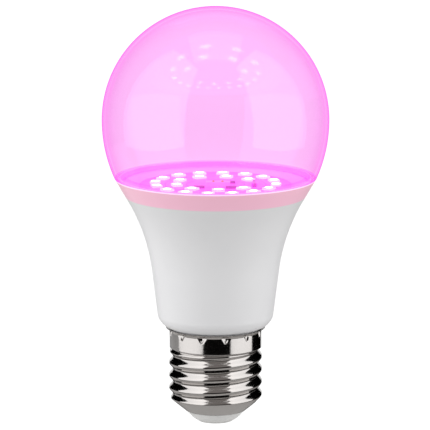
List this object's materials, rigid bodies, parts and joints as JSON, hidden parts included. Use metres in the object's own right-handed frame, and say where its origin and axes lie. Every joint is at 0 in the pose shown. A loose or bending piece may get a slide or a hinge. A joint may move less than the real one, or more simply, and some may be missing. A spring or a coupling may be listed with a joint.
{
  "type": "light bulb",
  "caption": "Radio-controlled LED light bulb: clear pink-lit globe over two rings of LEDs, a flared white housing with the driver inside, and a plated E27 screw cap",
  "frame": {"origin": "centre of the contact face at the bottom of the screw cap, on the bulb's axis", "axes": "+Z along the bulb's axis from the cap to the globe, -Y towards the viewer, +X to the viewer's right"},
  "size_m": [0.0638, 0.0638, 0.1182],
  "materials": {
    "pink_clear_globe": "clear polycarbonate, glossy, tinted pink",
    "silicone_adhesive": "cured white silicone bead",
    "white_housing": "satin white moulded plastic",
    "pressed_aluminium": "bare pressed aluminium",
    "sleeve_plastic": "natural off-white plastic film",
    "thermal_paste": "grey heat-conducting paste",
    "board_mask_white": "white solder mask over an aluminium board",
    "led_body": "white moulded LED package",
    "led_window": "clear resin over the lit LED chip",
    "tinned_metal": "tin plated",
    "connector_plastic": "off-white moulded plastic",
    "gold_plate": "thin gold plate",
    "chip_body": "black epoxy",
    "nickel_plated_shell": "bright nickel plate over rolled sheet",
    "cap_insulator": "pale grey moulded insulator",
    "contact_metal": "tin plated",
    "red_wire": "red wire insulation",
    "black_wire": "black wire insulation",
    "green_board": "green solder mask over glass fibre",
    "resistor_coat": "green flame-proof coat",
    "blue_coat": "blue epoxy coat",
    "red_box": "red-brown plastic box",
    "green_sleeve": "shrunk green film",
    "navy_sleeve": "shrunk dark blue film",
    "rubber_seal": "black rubber plug",
    "ferrite": "sintered grey ferrite",
    "enamelled_copper": "enamelled copper wire",
    "black_plastic": "black moulded plastic",
    "yellow_tape": "yellow polyester tape",
    "solder": "solder",
    "dark_green_board": "dark solder mask over glass fibre",
    "shield_can": "drawn nickel silver",
    "bare_copper": "etched copper"
  },
  "bodies": {
    "root": {"globe": "pink_clear_globe", "globe_adhesive": "silicone_adhesive", "housing_shell": "white_housing", "heat_sink_cup": "pressed_aluminium", "driver_sleeve": "sleeve_plastic", "led_carrier": "pressed_aluminium", "thermal_paste": "thermal_paste", "led_board": "board_mask_white", "outer_leds": "led_body", "outer_led_windows": "led_window", "inner_leds": "led_body", "inner_led_windows": "led_window", "led_leads": "tinned_metal", "board_connector": "connector_plastic", "connector_pins": "gold_plate", "board_resistors": "chip_body", "screw_shell": "nickel_plated_shell", "cap_insulator": "cap_insulator", "centre_contact": "contact_metal", "live_wire": "red_wire", "neutral_wire": "black_wire", "neutral_solder": "tinned_metal", "driver_board": "green_board", "fuse_resistor": "resistor_coat", "surge_absorber": "blue_coat", "film_capacitor": "red_box", "bulk_capacitor_can": "pressed_aluminium", "bulk_capacitor_sleeve": "green_sleeve", "bulk_capacitor_seal": "rubber_seal", "output_capacitor_can": "pressed_aluminium", "output_capacitor_sleeve": "navy_sleeve", "output_capacitor_seal": "rubber_seal", "rectifier": "chip_body", "control_chip": "chip_body", "chip_leads": "tinned_metal", "driver_chip_parts": "chip_body", "choke_core": "ferrite", "choke_winding": "enamelled_copper", "transformer_core": "ferrite", "transformer_bobbin": "black_plastic", "transformer_winding": "enamelled_copper", "transformer_tape": "yellow_tape", "component_leads": "tinned_metal", "solder_joints": "solder", "radio_board": "dark_green_board", "radio_shield": "shield_can", "radio_pins": "gold_plate", "antenna_trace": "bare_copper"}
  },
  "joints": []
}
